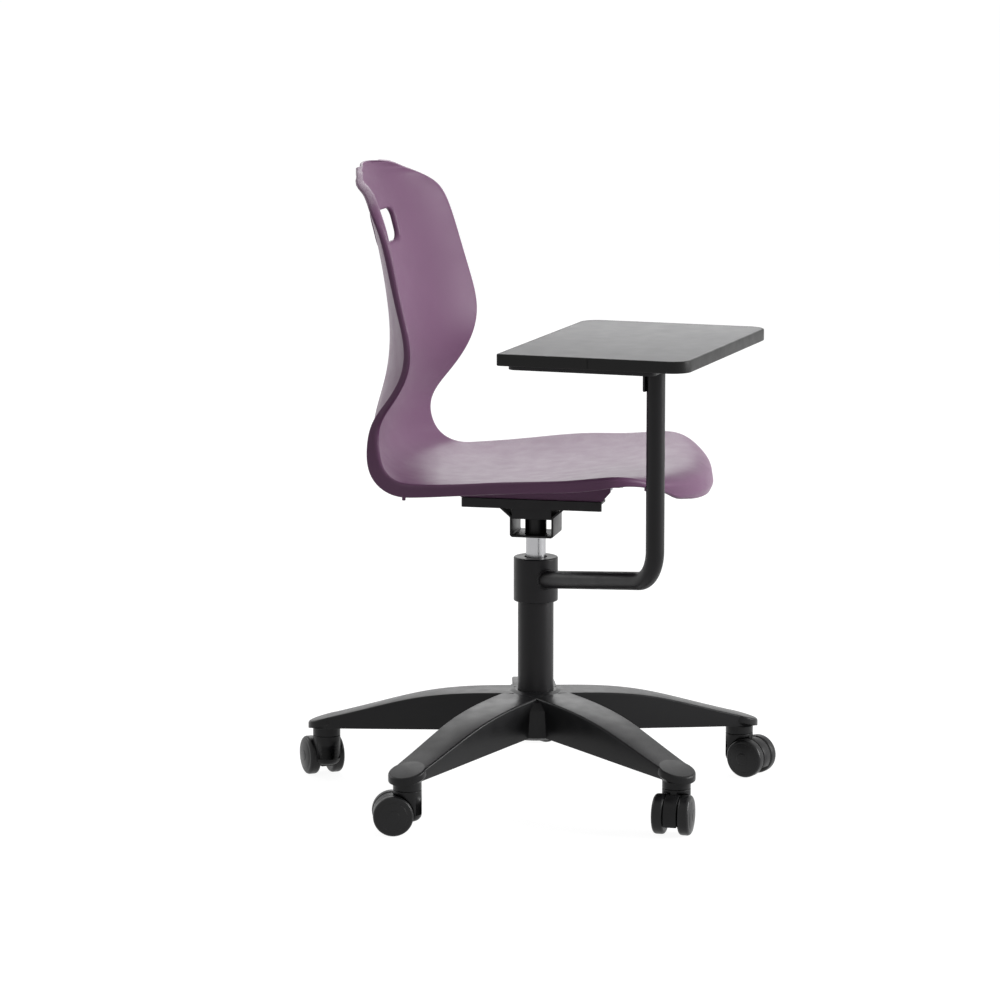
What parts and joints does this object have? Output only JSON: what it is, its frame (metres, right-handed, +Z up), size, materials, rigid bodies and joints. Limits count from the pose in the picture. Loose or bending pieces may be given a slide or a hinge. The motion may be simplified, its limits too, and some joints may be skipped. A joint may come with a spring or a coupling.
{
  "type": "swivel chair with writing tablet",
  "caption": "Swivel chair with a one-piece moulded shell, a gas lift, a star base on twin-wheel castors, and a writing tablet on a bent tube arm that swings round the column.",
  "frame": {"origin": "on the column axis, at the floor", "axes": "+Z up; the sitter faces -Y; the writing tablet is on the sitter's right, towards -X"},
  "size_m": [0.6913, 0.6703, 0.8825],
  "materials": {
    "shell_plastic": "satin, fine grain",
    "base_nylon": "fine grain",
    "castor_nylon": "fine grain",
    "wheel_nylon": "fine grain",
    "bush_plastic": "moulded",
    "black_paint": "semi-matt powder coat",
    "chrome": "polished",
    "steel": "zinc plated",
    "buffer_rubber": "moulded",
    "tablet_laminate": "matt laminate on a wood-based board",
    "edge_plastic": "matt edge band"
  },
  "bodies": {
    "base": {"star_base": "base_nylon", "column_tube": "black_paint", "guide_bush": "bush_plastic", "thrust_washer_lower": "steel", "thrust_bearing": "steel"},
    "spindle": {"thrust_washer_upper": "steel", "piston_rod": "steel", "piston": "bush_plastic", "rubber_buffer": "buffer_rubber", "end_washer": "steel", "retaining_clip": "steel"},
    "seat": {"gas_cylinder": "chrome", "rod_guide": "bush_plastic", "taper_socket": "black_paint", "lift_bracket": "black_paint", "seat_plate": "black_paint", "plate_screws": "steel", "lever_pin_rod": "steel", "seat_shell": "shell_plastic", "stacking_lugs": "shell_plastic"},
    "lever": {"release_lever": "black_paint", "lever_grip": "bush_plastic"},
    "valve": {"valve_pin": "steel"},
    "arm": {"arm_collar": "black_paint", "collar_bush_lower": "bush_plastic", "collar_bush_upper": "bush_plastic", "arm_tube": "black_paint", "tablet_plate": "black_paint", "tablet_screws": "steel", "tablet_board": "tablet_laminate", "tablet_edge_band": "edge_plastic"},
    "castor_1": {"castor_housing_1": "castor_nylon", "castor_stem_1": "steel", "castor_axle_1": "steel"},
    "wheels_1": {"castor_wheel_left_1": "wheel_nylon", "castor_wheel_right_1": "wheel_nylon"},
    "castor_2": {"castor_housing_2": "castor_nylon", "castor_stem_2": "steel", "castor_axle_2": "steel"},
    "wheels_2": {"castor_wheel_left_2": "wheel_nylon", "castor_wheel_right_2": "wheel_nylon"},
    "castor_3": {"castor_housing_3": "castor_nylon", "castor_stem_3": "steel", "castor_axle_3": "steel"},
    "wheels_3": {"castor_wheel_left_3": "wheel_nylon", "castor_wheel_right_3": "wheel_nylon"},
    "castor_4": {"castor_housing_4": "castor_nylon", "castor_stem_4": "steel", "castor_axle_4": "steel"},
    "wheels_4": {"castor_wheel_left_4": "wheel_nylon", "castor_wheel_right_4": "wheel_nylon"},
    "castor_5": {"castor_housing_5": "castor_nylon", "castor_stem_5": "steel", "castor_axle_5": "steel"},
    "wheels_5": {"castor_wheel_left_5": "wheel_nylon", "castor_wheel_right_5": "wheel_nylon"}
  },
  "joints": [
    {"name": "seat_swivel", "type": "hinge", "parent": "base", "child": "spindle", "pos_m": [0, 0, 0.089], "axis": [0, 0, 1], "continuous": true},
    {"name": "seat_lift", "type": "slide", "parent": "spindle", "child": "seat", "axis": [0, 0, 1], "range_m": [0, 0.11]},
    {"name": "arm_swing", "type": "hinge", "parent": "spindle", "child": "arm", "pos_m": [0, 0, 0.3], "axis": [0, 0, 1], "range_deg": [-30, 95]},
    {"name": "release_lever_pivot", "type": "hinge", "parent": "seat", "child": "lever", "pos_m": [0.034, 0, 0.4163], "axis": [0, -1, 0], "range_deg": [0, 4], "stiffness_Nm_per_rad": 2},
    {"name": "valve_press", "type": "slide", "parent": "seat", "child": "valve", "axis": [0, 0, 1], "range_m": [-0.0026, 0]},
    {"name": "castor_swivel_1", "type": "hinge", "parent": "base", "child": "castor_1", "pos_m": [0.30079, 0.075, 0.06], "axis": [0, 0, 1], "continuous": true},
    {"name": "wheel_roll_1", "type": "hinge", "parent": "castor_1", "child": "wheels_1", "pos_m": [0.31655, 0.06268, 0.0275], "axis": [0.6157, 0.788, 0], "continuous": true},
    {"name": "castor_swivel_2", "type": "hinge", "parent": "base", "child": "castor_2", "pos_m": [0.02162, 0.30924, 0.06], "axis": [0, 0, 1], "continuous": true},
    {"name": "wheel_roll_2", "type": "hinge", "parent": "castor_2", "child": "wheels_2", "pos_m": [0.03821, 0.32043, 0.0275], "axis": [-0.5592, 0.829, 0], "continuous": true},
    {"name": "castor_swivel_3", "type": "hinge", "parent": "base", "child": "castor_3", "pos_m": [-0.28743, 0.11613, 0.06], "axis": [0, 0, 1], "continuous": true},
    {"name": "wheel_roll_3", "type": "hinge", "parent": "castor_3", "child": "wheels_3", "pos_m": [-0.29294, 0.13535, 0.0275], "axis": [-0.9613, -0.2756, 0], "continuous": true},
    {"name": "castor_swivel_4", "type": "hinge", "parent": "base", "child": "castor_4", "pos_m": [-0.19926, -0.23747, 0.06], "axis": [0, 0, 1], "continuous": true},
    {"name": "wheel_roll_4", "type": "hinge", "parent": "castor_4", "child": "wheels_4", "pos_m": [-0.21925, -0.23678, 0.0275], "axis": [-0.0349, -0.9994, 0], "continuous": true},
    {"name": "castor_swivel_5", "type": "hinge", "parent": "base", "child": "castor_5", "pos_m": [0.16428, -0.26289, 0.06], "axis": [0, 0, 1], "continuous": true},
    {"name": "wheel_roll_5", "type": "hinge", "parent": "castor_5", "child": "wheels_5", "pos_m": [0.15743, -0.28169, 0.0275], "axis": [0.9397, -0.342, 0], "continuous": true}
  ],
  "couplings": [
    {"joint": "valve_press", "follows": "release_lever_pivot", "m_per_rad": -0.037}
  ]
}
